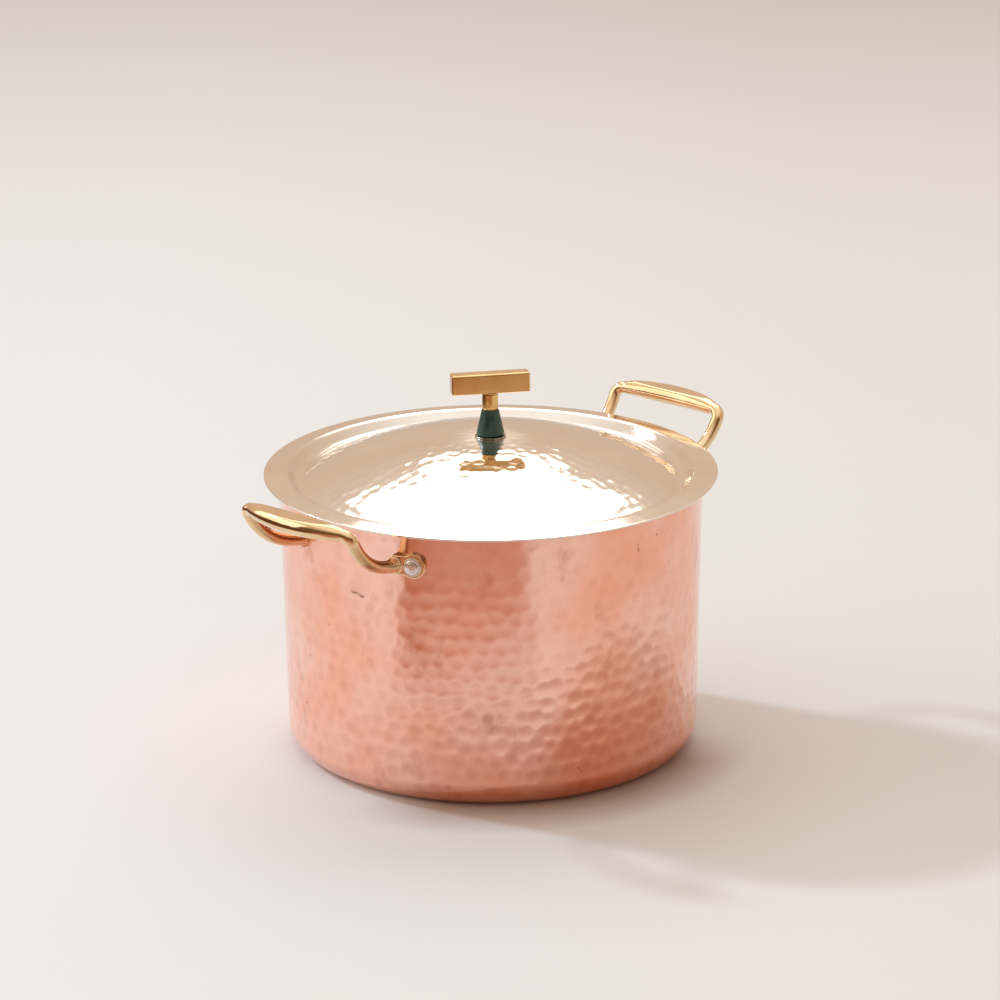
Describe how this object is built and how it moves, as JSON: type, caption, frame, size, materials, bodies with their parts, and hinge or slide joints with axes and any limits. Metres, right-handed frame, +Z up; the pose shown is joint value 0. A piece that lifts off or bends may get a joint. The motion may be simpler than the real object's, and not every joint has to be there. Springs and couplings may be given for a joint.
{
  "type": "stockpot",
  "caption": "Lidded hammered copper stockpot with riveted bronze loop handles and a domed lid that lifts off by a T-bar knob.",
  "frame": {"origin": "middle of the pot's base, on the surface that it stands on", "axes": "+Z up through the lid and knob, X along the line through the two handles, Y across them"},
  "size_m": [0.364, 0.2784, 0.236],
  "materials": {
    "copper": "polished hammered copper",
    "aluminium": "cut edge, satin",
    "lining_steel": "circular brushed",
    "lid_steel": "polished, hammered dome",
    "bronze": "polished casting",
    "knob_brass": "satin turned and milled",
    "rivet_steel": "polished",
    "green_resin": "satin dark green"
  },
  "bodies": {
    "pot": {"copper_shell": "copper", "aluminium_core": "aluminium", "steel_lining": "lining_steel", "left_handle": "bronze", "right_handle": "bronze", "left_handle_front_rivet": "rivet_steel", "left_handle_rear_rivet": "rivet_steel", "right_handle_front_rivet": "rivet_steel", "right_handle_rear_rivet": "rivet_steel"},
    "lid": {"lid_shell": "lid_steel", "knob_ring": "rivet_steel", "knob_cone": "green_resin", "knob_neck": "knob_brass", "knob_bar": "knob_brass", "lid_washer": "rivet_steel", "lid_screw": "rivet_steel"}
  },
  "joints": [
    {"name": "lid_lift", "type": "slide", "parent": "pot", "child": "lid", "axis": [0, 0, 1], "range_m": [0, 0.15]}
  ]
}
